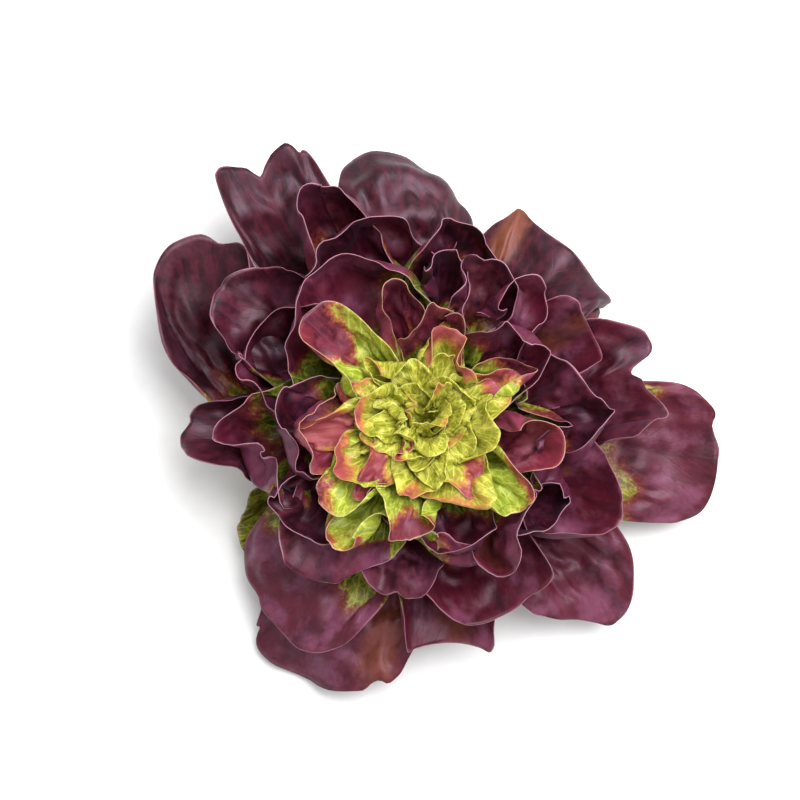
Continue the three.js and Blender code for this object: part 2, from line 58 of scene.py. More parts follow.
# ---- The finer sheets made here ----
ROWS, COLUMNS = 20, 32  # while a leaf grows
FINE_GRID = {"outer": (46, 66), "middle": (46, 66), "inner": (40, 56), "heart": (32, 44)}
THICKNESS = 0.5
RIM_THICKNESS = 0.28
GAP = 1.0  # between two leaves' middle surfaces
CAUGHT = 1.4  # a leaf this far on another's wrong side is still pressed back
STRAIGHT_ABOVE = 0.75  # least share of a gap that stands upright on a leaf's face
BLADE_BACK = math.radians(104)  # how far round its ellipse a blade's margin runs from the tip
BROADEST = 0.58  # where along the leaf its blade is broadest


def smooth(x, low, high):
    """0 below low, 1 above high, and an even rise between them."""
    t = np.clip((x - low) / (high - low), 0, 1)
    return t * t * (3 - 2 * t)


# ---- Grids of points, row by row from foot to margin ----
def rim_of(rows, columns):
    """The grid's border corners in order, starting at the foot's first corner."""
    across = columns + 1
    rim = list(range(columns))
    rim += [i * across + columns for i in range(rows)]
    rim += [rows * across + j for j in range(columns, 0, -1)]
    rim += [i * across for i in range(rows, 0, -1)]
    return rim


def grid_triangles(rows, columns):
    """The corners of the two triangles in each of a grid's squares."""
    across = columns + 1
    faces = []
    for i in range(rows):
        for j in range(columns):
            here = i * across + j
            faces.append((here, here + across, here + across + 1))
            faces.append((here, here + across + 1, here + 1))
    return faces


# ---- Reading a leaf's middle surface back from its solid ----
def solid_faces(rows, columns):
    """The corners of each triangle of a leaf's solid: inner face, outer face and rim."""
    count = (rows + 1) * (columns + 1)
    faces = []
    for p, q, r in grid_triangles(rows, columns):
        faces.append((p, q, r))
        faces.append((count + p, count + r, count + q))
    rim = rim_of(rows, columns)
    for n, p in enumerate(rim):
        q = rim[(n + 1) % len(rim)]
        faces.append((p, q, count + q))
        faces.append((p, count + q, count + p))
    return faces


def third_corners(faces):
    """For each directed edge of a triangle, the triangle's third corner."""
    thirds = {}
    for a, b, c in faces:
        thirds[a, b] = c
        thirds[b, c] = a
        thirds[c, a] = b
    return thirds


def same_net(model, mesh, start, edge):
    """The mesh corner for each model corner, if the nets match from that edge on, or None."""
    found = dict(zip(start, edge))
    waiting = [start]
    seen = set()
    while waiting:
        a, b = waiting.pop()
        if (a, b) in seen:
            continue
        c = model[a, b]
        seen.update(((a, b), (b, c), (c, a)))
        corner = mesh.get((found[a], found[b]))
        if corner is None or found.setdefault(c, corner) != corner:
            return None
        waiting += [(b, a), (c, b), (a, c)]
    return found if len(set(found.values())) == len(found) else None


def middle_surface(node, rows, columns):
    """A grid of points, row by row from foot to margin, halfway through a CAD leaf's thickness."""
    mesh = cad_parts[node].data
    mesh.calc_loop_triangles()
    corners = np.array([v.co for v in mesh.vertices]) / METRES
    places, welded = np.unique(np.round(corners, 4), axis=0, return_inverse=True)
    welded = welded.reshape(-1)
    faces = [tuple(int(welded[v]) for v in t.vertices) for t in mesh.loop_triangles]
    count = (rows + 1) * (columns + 1)
    assert len(places) == 2 * count, f"{node} has {len(places)} corners"
    model = third_corners(solid_faces(rows, columns))
    net = third_corners(faces)
    start = next(iter(model))
    best = None
    for edge in sorted(net):
        found = same_net(model, net, start, edge)
        if found is None:
            continue
        ordered = places[[found[k] for k in range(2 * count)]]
        inner, outer = ordered[:count], ordered[count:]
        foot = np.linalg.norm(np.diff(inner[: columns + 1], axis=0), axis=1).sum()
        to_stem = np.linalg.norm(inner[: columns + 1, :2], axis=1).mean()
        score = (round(foot, 3), to_stem)
        if best is None or score < best[0]:
            best = (score, inner, outer)
    assert best, f"{node} isn't a leaf's solid"
    _, inner, outer = best
    through = inner - outer
    through /= np.linalg.norm(through, axis=1)[:, None]
    return (inner - through * CAD_BLADE / 2).reshape(rows + 1, columns + 1, 3)


# ---- Finer grids, their normals and their bumps ----
BUMP_BORDER = 6  # how many rows and columns of a field of bumps are cut off at each side


def spline(values, count):
    """The values at count + 1 even places along the first axis, on a smooth curve through them."""
    last = len(values) - 1
    before = 2 * values[:1] - values[1:2]
    after = 2 * values[-1:] - values[-2:-1]
    ends = np.concatenate([before, values, after])
    at = np.linspace(0, last, count + 1)
    k = np.minimum(at.astype(int), last - 1)
    t = (at - k).reshape(-1, *[1] * (values.ndim - 1))
    a, b, c, d = (ends[k + n] for n in range(4))
    return b + 0.5 * t * (c - a + t * (2 * a - 5 * b + 4 * c - d + t * (3 * (b - c) + d - a)))


def refined(grid, rows, columns):
    """A grid of points with more rows and columns, through the same points."""
    along = spline(grid, rows)
    return spline(along.swapaxes(0, 1), columns).swapaxes(0, 1)


def normals_of(grids):
    """The unit normals of stacked grids, on their inner side."""
    down = np.gradient(grids, axis=-3)
    across = np.gradient(grids, axis=-2)
    normals = np.cross(down, across)
    return normals / np.maximum(np.linalg.norm(normals, axis=-1, keepdims=True), 1e-9)


def bumps(random, rows, columns, cells):
    """A smooth field from about -1 to 1 over a grid, with that many bumps along and across."""
    coarse = random.uniform(-1, 1, (cells[0] + 3, cells[1] + 3))
    field = refined(coarse[:, :, None], rows + 2 * BUMP_BORDER, columns + 2 * BUMP_BORDER)[:, :, 0]
    return field[BUMP_BORDER : BUMP_BORDER + rows + 1, BUMP_BORDER : BUMP_BORDER + columns + 1]


# ---- Growth ----
# Which corners of a grid are linked: how many rows and columns apart, and how firmly.
LINK_REACHES = [(0, 1, 0.9), (1, 0, 0.9), (1, 1, 0.5), (1, -1, 0.5), (0, 2, 0.25), (2, 0, 0.25)]
CELL = 6.0  # side of the cubes that leaves are looked up in


def links_of(rows, columns):
    """Pairs of grid corners that keep their distance, in sets that share no corner."""
    number = np.arange((rows + 1) * (columns + 1)).reshape(rows + 1, columns + 1)
    sets = []
    for di, dj, stiffness in LINK_REACHES:
        for parity in (0, 1):
            pairs = []
            for i in range(rows + 1 - di):
                for j in range(max(0, -dj), columns + 1 - max(0, dj)):
                    place = i // di if di else j // dj
                    if place % 2 == parity:
                        pairs.append((number[i, j], number[i + di, j + dj]))
            sets.append((np.array(pairs), stiffness))
    return sets


def keep_lengths(points, sets, rests, firm):
    """Moves linked corners of all leaves at once towards their rest distances."""
    for (pairs, stiffness), rest in zip(sets, rests):
        a, b = pairs.T
        along = points[:, b] - points[:, a]
        length = np.maximum(np.linalg.norm(along, axis=2), 1e-6)
        share_a = firm[a]
        share_b = firm[b]
        total = np.maximum(share_a + share_b, 1e-6)
        pull = (stiffness * (length - rest) / length / total)[:, :, None] * along
        points[:, a] += pull * share_a[None, :, None]
        points[:, b] -= pull * share_b[None, :, None]


def averaged(field, times):
    """A stack of grids with each point moved towards the mean of its neighbours."""
    share = 0.2  # of the point itself, and of each of its four neighbours
    for _ in range(times):
        padded = np.pad(field, ((0, 0), (1, 1), (1, 1), (0, 0)), mode="edge")
        around = padded[:, :-2, 1:-1] + padded[:, 2:, 1:-1]
        around = around + padded[:, 1:-1, :-2] + padded[:, 1:-1, 2:]
        field = share * field + share * around
    return field


def near_leaves(points):
    """For each leaf, which points of every leaf are in or beside a cube that it passes through."""
    cubes = np.floor((points - points.min((0, 1))) / CELL).astype(int) + 1
    filled = np.zeros((len(points), *(cubes.max((0, 1)) + 2)), bool)
    x, y, z = cubes.transpose(2, 0, 1)
    for n in range(len(points)):
        filled[n, x[n], y[n], z[n]] = True
    for axis in (1, 2, 3):
        filled = filled | np.roll(filled, 1, axis) | np.roll(filled, -1, axis)
    return [leaf[x, y, z] for leaf in filled]


def press_apart(points, shape, triangles, gap):
    """Moves the leaves' points apart, later leaves to the inner side of earlier ones."""
    count = len(points)
    normals = normals_of(points.reshape(count, *shape, 3)).reshape(points.shape)
    corners = np.array(triangles)
    trees = [BVHTree.FromPolygons(leaf.tolist(), triangles) for leaf in points]
    near = near_leaves(points)
    hits = []
    for b in range(count):
        nearest = trees[b].find_nearest
        for a, k in zip(*np.nonzero(near[b])):
            if a != b:
                place, normal, face, distance = nearest(points[a, k], CAUGHT)
                if place is not None:
                    hits.append((a, k, b, face, *place, *normal, distance))
    if not hits:
        return
    hits = np.array(hits)
    a, k, b, face = hits[:, :4].astype(int).T
    place, normal, distance = hits[:, 4:7], hits[:, 7:10], hits[:, 10]
    away = points[a, k] - place
    nested = (normals[a, k] * normal).sum(1) > 0
    upright = (away * normal).sum(1)
    side = np.where(nested, np.sign(a - b), np.sign(upright))
    height = upright * side
    above = np.abs(height) > STRAIGHT_ABOVE * distance
    amount = gap - np.where(above, height, distance)
    flat = away / np.maximum(distance, 1e-6)[:, None]
    direction = np.where(above[:, None], normal * side[:, None], flat)
    push = direction * np.maximum(amount, 0)[:, None] / 2
    pressed = amount > 0
    moves = np.zeros_like(points)
    times = np.zeros(points.shape[:2])
    np.add.at(moves, (a[pressed], k[pressed]), push[pressed])
    np.add.at(times, (a[pressed], k[pressed]), 1)
    for n in range(3):
        corner = corners[face[pressed], n]
        np.add.at(moves, (b[pressed], corner), -push[pressed])
        np.add.at(times, (b[pressed], corner), 1)
    moves /= np.maximum(times, 1)[:, :, None]
    moves[:, : shape[1]] = 0  # the foot stays
    points += moves


# ---- How each family grows ----
SWEEPS = 64
BENDING_SWEEPS = 40  # while the blades bend to their aims
PRESS_EVERY = 4
LAST_PRESSES = 10
HOLD = 0.25  # how much of a leaf's drift is taken back in each sweep
DRIFT_SPREAD = 12  # how many times the drift is averaged with its surroundings before that
FIRST_BUMPS = 0.8  # how uneven a leaf is before it grows
FIRST_CELLS = (5, 8)
FIRST_SHIFT = 0.5  # how far to its outer side it starts, as a share of that
GROWTH_SEED = 100

# grow: how far the blade outgrows its margin. pucker: how unevenly. angular: how straight the
# margin runs between its corners. corners: how many it has. lobes: how deep its splits are, as a
# share of the leaf. pocket: how far the blade is dished, and close: how far its sides are folded
# in, in degrees. flaps: how many stretches of the margin lean over, and by how many degrees.
# rolls: how likely a stretch of the margin is to roll right over.
FAMILY = {
    "outer": dict(
        grow=0.05, pucker=0.03, angular=0.85, corners=(3, 5), lobes=(0.01, 0.04),
        pocket=4, close=0, flaps=(2, 26), rolls=0,
    ),
    "middle": dict(
        grow=0.06, pucker=0.03, angular=0.75, corners=(3, 5), lobes=(0, 0.04),
        pocket=12, close=4, flaps=(1, 34), rolls=0.3,
    ),
    "inner": dict(
        grow=0.06, pucker=0.04, angular=1, corners=(2, 4), lobes=(0, 0.1),
        pocket=4, close=8, flaps=(2, 50), rolls=0.4,
    ),
    "heart": dict(
        grow=0.03, pucker=0.02, angular=1, corners=(2, 4), lobes=(0, 0.12),
        pocket=0, close=0, flaps=(1, 46), rolls=0.15,
    ),
}

# Where a single leaf's growth differs from its family's.
SINGLE = {
    "outer_leaf_02": dict(angular=1),
    "outer_leaf_03": dict(angular=1),
    "outer_leaf_04": dict(grow=0.04, flaps=(2, 16)),
    "outer_leaf_05": dict(grow=0.03, flaps=(1, 10)),
    "outer_leaf_06": dict(angular=1, flaps=(1, 10)),
    "outer_leaf_07": dict(angular=1, flaps=(1, 10)),
    "outer_leaf_10": dict(angular=1, flaps=(1, 20)),
    "outer_leaf_11": dict(angular=1, flaps=(1, 10)),
    "middle_leaf_01": dict(close=8, pocket=16, flaps=(1, 15), rolls=0),
    "middle_leaf_03": dict(close=0, pocket=0, flaps=(1, 20), rolls=0),
    "middle_leaf_04": dict(close=2, pocket=22, flaps=(1, 10), rolls=0),
    "middle_leaf_05": dict(close=4, pocket=22, flaps=(1, 10), rolls=0),
    "middle_leaf_06": dict(close=0, pocket=12, flaps=(1, 15), rolls=0),
    "middle_leaf_08": dict(close=6, pocket=24, flaps=(1, 10), rolls=0),
    "middle_leaf_09": dict(close=4, pocket=22, flaps=(1, 20), rolls=1),
    "middle_leaf_13": dict(close=2, pocket=22, flaps=(1, 10), rolls=0),
}

# The corners of single leaves' margins, as places across from -1 to 1.
CORNERS = {
    "outer_leaf_02": (-0.52, -0.12, 0.26, 0.6),
    "outer_leaf_03": (-0.6, -0.3, 0.1, 0.5),
    "outer_leaf_04": (-0.5, -0.05, 0.42),
    "outer_leaf_06": (-0.6, 0.02, 0.3, 0.55),
    "outer_leaf_07": (-0.44, 0.42),
    "outer_leaf_10": (-0.6, -0.15, 0.35, 0.6),
    "outer_leaf_11": (-0.42, 0.38),
}

# Cuts in the margins of single leaves: (place across from -1 to 1, half width, depth).
CUTS = {
    "outer_leaf_03": [(0.35, 0.08, 0.05)],
    "outer_leaf_05": [(-0.02, 0.06, 0.05)],
    "outer_leaf_12": [(0.1, 0.1, 0.08)],
}

# What any leaf's margin and blade may have. Places and widths are from -1 to 1 across, and
# angles in degrees.
SPLIT_PLACES = [(-0.7, -0.25), (-0.2, 0.2), (0.25, 0.7)]
SPLIT_CHANCE = 0.75
SPLIT_HALF = (0.07, 0.13)  # half its width
CORNER_SPAN = 0.65  # how far across the outermost corner may be
OVERHANG = 0.03  # how far corners stand out past the CAD's margin, as a share of the leaf
INWARD_CHANCE = 0.72  # how likely a stretch of the margin leans in, and not out
OUTWARD = -0.5  # how far it leans out, as a share of how far it would lean in
ROLL_LEAST, ROLL_MOST = 95, 135  # how far a rolled margin turns
SLIMNESS = 0.36  # half a blade's width, as a share of its length
CREASE = {"outer": 2.2, "middle": 2.4, "inner": 2, "heart": 1.2}  # height of a blade's folds
FOLD_CELLS = (2, 5)  # how many folds a blade has along it and across it
FOLD_RIDGE = 0.4  # how much of a fold's height is ridge, where the rest is valley
PUCKER_CELLS = [(4, 6), (8, 13)]  # how many puckers, coarse and fine


def family(name):
    return name.split("_")[0]


def style_of(name):
    return {**FAMILY[family(name)], **SINGLE.get(name, {})}


def margin_point(v):
    """Where the flat leaf's margin is, along and across, at a place from -1 to 1."""
    rounds = v * BLADE_BACK
    return BROADEST + (1 - BROADEST) * np.cos(rounds), SLIMNESS * np.sin(rounds)


def chord_trim(v, corners):
    """How far in from the margin straight lines between its corners run, as a share of the leaf."""
    ends = [-1, *corners, 1]
    trim = np.zeros_like(v)
    for low, high in zip(ends, ends[1:]):
        between = (v >= low) & (v <= high)
        x, y = margin_point(v[between])
        (ax, ay), (bx, by) = margin_point(low), margin_point(high)
        reach = (ax * (by - ay) - ay * (bx - ax)) / (x * (by - ay) - y * (bx - ax))
        trim[between] = 1 - reach
    return trim


def cut(v, place, half, depth):
    """A V-shaped cut in a margin, as a share of the leaf's length."""
    return depth * np.clip(1 - np.abs(v - place) / half, 0, 1)


def trimmed(name, grid, random):
    """The grid with its margin drawn in unevenly, so that the outline has corners and splits."""
    rows, columns = grid.shape[0] - 1, grid.shape[1] - 1
    style = style_of(name)
    v = np.linspace(-1, 1, columns + 1)
    few, many = style["corners"]
    places = np.sort(random.uniform(-CORNER_SPAN, CORNER_SPAN, random.integers(few, many + 1)))
    trim = style["angular"] * chord_trim(v, CORNERS.get(name, places)) - OVERHANG
    low, high = style["lobes"]
    for place in [random.uniform(*span) for span in SPLIT_PLACES]:
        depth = random.uniform(low, high) * (random.uniform() < SPLIT_CHANCE)
        trim = np.maximum(trim, cut(v, place, random.uniform(*SPLIT_HALF), depth))
    for place, half, depth in CUTS.get(name, []):
        trim = np.maximum(trim, cut(v, place, half, depth))
    at = np.linspace(0, rows, rows + 1)[:, None] * (1 - trim[None, :])
    below = np.minimum(at.astype(int), rows - 1)
    share = (at - below)[:, :, None]
    j = np.arange(columns + 1)[None, :]
    return grid[below, j] * (1 - share) + grid[below + 1, j] * share


def bent(grid, angles):
    """The grid with each step towards the margin turned inwards by the angle at its point."""
    normals = normals_of(grid)
    steps = np.diff(grid, axis=0)
    lengths = np.linalg.norm(steps, axis=2, keepdims=True)
    turn = (angles[:-1] + angles[1:])[:, :, None] / 2
    steps = steps * np.cos(turn) + (normals[:-1] + normals[1:]) / 2 * lengths * np.sin(turn)
    return np.concatenate([grid[:1], grid[:1] + np.cumsum(steps, axis=0)])


def shaped(name, grid, random):
    """The trimmed grid as it starts, and as it aims to be: dished, with its margin leaning."""
    plain = trimmed(name, grid, random)
    style = style_of(name)
    u = np.linspace(0, 1, ROWS + 1)[:, None]
    v = np.linspace(-1, 1, COLUMNS + 1)[None, :]
    folds = (FOLD_RIDGE - np.abs(bumps(random, ROWS, COLUMNS, FOLD_CELLS))) * smooth(u, 0.2, 0.6)
    creased = plain + normals_of(plain) * (CREASE[family(name)] * folds)[:, :, None]
    pocket = style["pocket"] * random.uniform(0.6, 1.3)
    angles = pocket * (2 * smooth(u, 0.55, 1) - smooth(u, 0.15, 0.5)) * np.ones_like(v)
    close = style["close"] * random.uniform(0.3, 1.4)
    angles = angles + close * smooth(np.abs(v), 0.15, 0.6) * smooth(u, 0.4, 0.95)
    count, most = style["flaps"]
    for n in range(count):
        place = -0.9 + 1.8 * (n + random.uniform(0.1, 0.9)) / count
        half = random.uniform(0.26, 0.5)
        start = random.uniform(0.62, 0.84)
        angle = most * random.uniform(0.4, 1) * (1 if random.uniform() < INWARD_CHANCE else OUTWARD)
        window = 1 - smooth(np.abs(v - place), 0.4 * half, half)
        angles = angles + angle * window * smooth(u, start, start + 0.12)
    if random.uniform() < style["rolls"]:
        place = random.uniform(-0.7, 0.7)
        half = random.uniform(0.25, 0.4)
        start = random.uniform(0.72, 0.8)
        window = 1 - smooth(np.abs(v - place), 0.5 * half, half)
        angles = angles + random.uniform(ROLL_LEAST, ROLL_MOST) * window * smooth(u, start, 0.96)
    return plain, bent(creased, np.radians(angles))


def growth_of(name, random):
    """How long each part of a leaf's blade grows, as a share of its length in the CAD."""
    style = style_of(name)
    u = np.linspace(0, 1, ROWS + 1)[:, None]
    v = np.linspace(-1, 1, COLUMNS + 1)[None, :]
    inside = smooth(u, 0.2, 0.5) * (1 - smooth(u, 0.75, 1)) * (1 - 0.6 * smooth(np.abs(v), 0.6, 1))
    coarse, fine = (bumps(random, ROWS, COLUMNS, cells) for cells in PUCKER_CELLS)
    puckers = coarse + 0.5 * fine
    return 1 + style["grow"] * inside + style["pucker"] * puckers * smooth(u, 0.15, 0.4)


# ---- Small leaves of the heart ----
# The heart has more leaves than the CAD gives it. Each rises from the stem's tip, and is set
# between the CAD's own, from the outside inwards. Pairs are for the first leaf and the last.
# Angles are in degrees.
HEART_EXTRAS = 20
GOLDEN_ANGLE = 137.508
FIRST_BEARING = 40
EXTRA_SEED = 900
STEM_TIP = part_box("stem")[1][2] / METRES
EXTRA_REACH = (58, 13)
EXTRA_HEIGHT = (84, 90)
EXTRA_LEAN = (14, 46)
EXTRA_WIDE = (32, 18)
EXTRA_CUP = (10, 60)
EXTRA_TWIST = 42  # at most, either way
EXTRA_FOOT = 3
MIDRIB_POINTS = 60


def between(ends, share):
    return ends[0] + (ends[1] - ends[0]) * share


def extra_midrib(n, random):
    """Points along a small heart leaf's midrib, from foot to tip, and the heading of its tip."""
    share = n / (HEART_EXTRAS - 1)
    bearing = math.radians(FIRST_BEARING + n * GOLDEN_ANGLE + random.uniform(-14, 14))
    lopsided = 1 - 0.14 * math.cos(bearing)  # the heart is fuller on the side away from +X
    reach = between(EXTRA_REACH, share**0.85) * lopsided + random.uniform(-3, 3)
    height = between(EXTRA_HEIGHT, share) + random.uniform(-4, 4)
    lean = math.radians(between(EXTRA_LEAN, share) + random.uniform(-16, 16))
    heading = bearing + math.radians(random.uniform(-38, 38))
    out = np.array([math.cos(bearing), math.sin(bearing), 0])
    ahead = np.array([math.cos(heading), math.sin(heading), 0])
    up = np.array([0, 0, 1.0])
    foot = out * EXTRA_FOOT + up * (STEM_TIP + 0.5)
    tip = out * reach + up * height
    chord = np.linalg.norm(tip - foot)
    handle = foot + (out * 0.25 + up) * chord * 0.4
    bend = tip - (ahead * math.cos(lean) + up * math.sin(lean)) * chord * 0.34
    t = np.linspace(0, 1, MIDRIB_POINTS)[:, None]
    curve = (1 - t) ** 3 * foot + 3 * t * (1 - t) ** 2 * handle
    return curve + 3 * t * t * (1 - t) * bend + t**3 * tip, heading


def extra_leaf(n):
    """The middle surface of a small heart leaf, round its midrib."""
    random = np.random.default_rng(EXTRA_SEED + n)
    curve, heading = extra_midrib(n, random)
    wide = between(EXTRA_WIDE, n / (HEART_EXTRAS - 1)) * random.uniform(0.85, 1.2)
    cup = math.radians(random.uniform(*EXTRA_CUP))
    twist = math.radians(random.uniform(-EXTRA_TWIST, EXTRA_TWIST))

    # The flat leaf: how far along the midrib each point is, and how far to its side.
    rounds = np.linspace(-1, 1, COLUMNS + 1)[None, :] * BLADE_BACK
    u = np.linspace(0, 1, ROWS + 1)[:, None]
    pointed = np.sign(np.cos(rounds)) * np.abs(np.cos(rounds)) ** 1.25
    along = np.clip(u * (BROADEST + (1 - BROADEST) * pointed), 0, 1)
    flat = wide / 2 * np.sin(rounds) * u + EXTRA_FOOT / 2 * rounds / BLADE_BACK * (1 - u)

    # The directions at the midrib beside each point: along it, to its side, and inwards.
    at = along * (len(curve) - 1)
    k = np.minimum(at.astype(int), len(curve) - 2)
    centre = curve[k] + (curve[k + 1] - curve[k]) * (at - k)[:, :, None]
    tangent = np.gradient(curve, axis=0)[k]
    tangent /= np.linalg.norm(tangent, axis=2, keepdims=True)
    side = np.array([-math.sin(heading), math.cos(heading), 0]) * np.ones_like(tangent)
    side -= tangent * (side * tangent).sum(2, keepdims=True)
    side /= np.linalg.norm(side, axis=2, keepdims=True)
    inward = np.cross(tangent, side)
    spin = (twist * along**1.5)[:, :, None]
    cos, sin = np.cos(spin), np.sin(spin)
    side, inward = side * cos + inward * sin, inward * cos - side * sin

    slope = cup * np.abs(flat / wide * 2)
    across = (flat * np.sinc(slope / 2 / np.pi))[:, :, None]
    rise = (np.abs(flat) * np.sin(slope / 2))[:, :, None]
    return centre + side * across + inward * rise


def grow(names):
    """The leaves' middle surfaces once they have grown, as grids in the order of names."""
    shape = (ROWS + 1, COLUMNS + 1)
    randoms = [np.random.default_rng(GROWTH_SEED + n) for n in range(len(names))]
    starts = []
    aims = []
    for name, random in zip(names, randoms):
        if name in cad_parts:
            grid = refined(middle_surface(name, *CAD_GRID[family(name)]), ROWS, COLUMNS)
        else:
            grid = extra_leaf(int(name.split("_")[-1]) - 1)
        start, aim = shaped(name, grid, random)
        starts.append(start)
        aims.append(aim)
    growth = np.array([growth_of(name, random).ravel() for name, random in zip(names, randoms)])
    starts = np.array(starts).reshape(len(names), -1, 3)
    aims = np.array(aims).reshape(len(names), -1, 3)
    sets = links_of(ROWS, COLUMNS)
    lengths = []
    factors = []
    for pairs, _ in sets:
        a, b = pairs.T
        lengths.append(np.linalg.norm(aims[:, b] - aims[:, a], axis=2))
        factors.append((growth[:, a] + growth[:, b]) / 2)
    firm = np.ones(shape[0] * shape[1])
    firm[: 2 * shape[1]] = 0  # the two rows at the foot stay
    triangles = grid_triangles(ROWS, COLUMNS)
    normals = normals_of(starts.reshape(-1, *shape, 3)).reshape(aims.shape)
    first = np.array([bumps(random, ROWS, COLUMNS, FIRST_CELLS).ravel() for random in randoms])
    first = (first[:, :, None] - FIRST_SHIFT) * firm[None, :, None]
    points = starts + normals * first * FIRST_BUMPS
    for sweep in range(SWEEPS):
        so_far = min(1, (sweep + 1) / BENDING_SWEEPS)
        if sweep < BENDING_SWEEPS:
            points += (aims - starts) * firm[None, :, None] / BENDING_SWEEPS
        rests = [length * (1 + (g - 1) * so_far) for length, g in zip(lengths, factors)]
        keep_lengths(points, sets, rests, firm)
        drift = (points - starts - (aims - starts) * so_far).reshape(-1, *shape, 3)
        points -= HOLD * averaged(drift, DRIFT_SPREAD).reshape(points.shape) * firm[None, :, None]
        if sweep % PRESS_EVERY == 0:
            press_apart(points, shape, triangles, GAP)
    for _ in range(LAST_PRESSES):
        press_apart(points, shape, triangles, GAP)
    return points.reshape(-1, *shape, 3)


# ---- A grown sheet made into a closed leaf ----
# Heights on a blade: of its midrib at the foot, of round blisters, of sharp little creases, of
# wrinkles that run up the blade, and of the frill at its margin.
RIB_RISE = {"outer": 2.4, "middle": 1.8, "inner": 1.2, "heart": 0.7}
BLISTER = {"outer": 0.18, "middle": 0.18, "inner": 0.18, "heart": 0.12}
CRUMPLE = {"outer": 0.3, "middle": 0.3, "inner": 0.3, "heart": 0.25}
WRINKLE = {"outer": 0.22, "middle": 0.26, "inner": 0.3, "heart": 0.3}
FRILL = {"outer": 0.3, "middle": 0.3, "inner": 0.4, "heart": 0.3}
BLISTER_CELLS = (13, 20)  # how many of each there are along the blade and across it
CRUMPLE_CELLS = (6, 9)
WRINKLE_CELLS = (2, 30)
FRILL_CELLS = (3, 22)
RIM_TAPER = 3  # distance from the margin over which a blade thins


def flat_places(rows, columns):
    """Where each grid point lies on the flat leaf: along from 0 to 1, and across from -1 to 1."""
    rounds = np.linspace(-1, 1, columns + 1)[None, :] * BLADE_BACK
    u = np.linspace(0, 1, rows + 1)[:, None]
    return u * (BROADEST + (1 - BROADEST) * np.cos(rounds)), u * np.sin(rounds)


def margin_distance(grid):
    """The distance of each grid point from the leaf's margin, along its rows and columns."""
    columns = grid.shape[1] - 1
    down = np.linalg.norm(np.diff(grid, axis=0), axis=2)
    to_margin = np.vstack([np.cumsum(down[::-1], axis=0)[::-1], np.zeros((1, columns + 1))])
    side_steps = np.linalg.norm(np.diff(grid, axis=1), axis=2)
    from_left = np.hstack([np.zeros((grid.shape[0], 1)), np.cumsum(side_steps, axis=1)])
    return np.minimum(np.minimum(to_margin, from_left), from_left[:, -1:] - from_left)


def detailed(name, grid, random):
    """The grid with blisters, creases, wrinkles and a frilled margin."""
    kind = family(name)
    rows, columns = grid.shape[0] - 1, grid.shape[1] - 1
    u = np.linspace(0, 1, rows + 1)[:, None]
    blade = smooth(u, 0.2, 0.45)
    rise = BLISTER[kind] * bumps(random, rows, columns, BLISTER_CELLS) * blade
    ridge = 1 - 2 * np.abs(bumps(random, rows, columns, CRUMPLE_CELLS))
    rise = rise + CRUMPLE[kind] * ridge * blade
    rise = rise + WRINKLE[kind] * bumps(random, rows, columns, WRINKLE_CELLS) * blade
    rise = rise + FRILL[kind] * bumps(random, rows, columns, FRILL_CELLS) * smooth(u, 0.84, 1)
    return grid + normals_of(grid) * rise[:, :, None]


def leaf_mesh(name, grid, values):
    """A closed mesh round a leaf's middle surface, with its flat UV map and its own attributes."""
    rows, columns = grid.shape[0] - 1, grid.shape[1] - 1
    normals = normals_of(grid)
    edge = margin_distance(grid)
    along, across = flat_places(rows, columns)
    half = (RIM_THICKNESS + (THICKNESS - RIM_THICKNESS) * smooth(edge, 0, RIM_TAPER)) / 2
    rib = RIB_RISE[family(name)] * np.exp(-((across / (0.05 + 0.1 * (1 - along))) ** 2))
    rib = rib * (1 - smooth(along, 0.2, 0.85)) * smooth(along, 0, 0.1)
    inner = grid + normals * half[:, :, None]
    outer = grid - normals * (half + rib)[:, :, None]
    rim = rim_of(rows, columns)
    middle = grid.reshape(-1, 3)[rim]
    count = (rows + 1) * (columns + 1)
    vertices = np.concatenate([inner.reshape(-1, 3), outer.reshape(-1, 3), middle]) * METRES
    faces = []
    for i in range(rows):
        for j in range(columns):
            a = i * (columns + 1) + j
            b = a + columns + 1
            faces.append((a, b, b + 1, a + 1))
            faces.append((count + a, count + a + 1, count + b + 1, count + b))
    for n, p in enumerate(rim):
        m = (n + 1) % len(rim)
        q = rim[m]
        faces.append((p, q, 2 * count + m, 2 * count + n))
        faces.append((2 * count + n, 2 * count + m, count + q, count + p))
    mesh = bpy.data.meshes.new(name)
    mesh.from_pydata(vertices.tolist(), [], faces)
    mesh.polygons.foreach_set("use_smooth", [True] * len(mesh.polygons))

    def on_vertices(field):
        """A grid's values for the mesh's vertices: inner face, outer face and rim."""
        flat = (field * np.ones((rows + 1, columns + 1))).ravel()
        return np.concatenate([flat, flat, flat[rim]])

    corner = np.zeros(len(mesh.loops), int)
    mesh.loops.foreach_get("vertex_index", corner)
    uv = np.stack([on_vertices(along), on_vertices(across)], axis=1)[corner]
    mesh.uv_layers.new(name="UVMap").data.foreach_set("uv", uv.ravel())
    fields = {label: on_vertices(value) for label, value in values.items()}
    fields["edge"] = on_vertices(edge)
    fields["fan"] = on_vertices(np.linspace(-1, 1, columns + 1)[None, :])
    fields["edge"][2 * count :] = 0
    fields["back"] = np.concatenate([np.zeros(count), np.ones(count), np.full(len(rim), 0.5)])
    for label, field in fields.items():
        attribute = mesh.attributes.new(label, "FLOAT", "POINT")
        attribute.data.foreach_set("value", field.astype(np.float32))
    made = bpy.data.objects.new(name, mesh)
    bpy.context.scene.collection.objects.link(made)
    return made


# ---- Colours ----
# Where along the blade the green base starts to fade, and where it is gone.
GREEN = {"outer": (0.3, 0.6), "middle": (0.34, 0.64), "inner": (0.48, 0.92), "heart": (0.8, 1.3)}
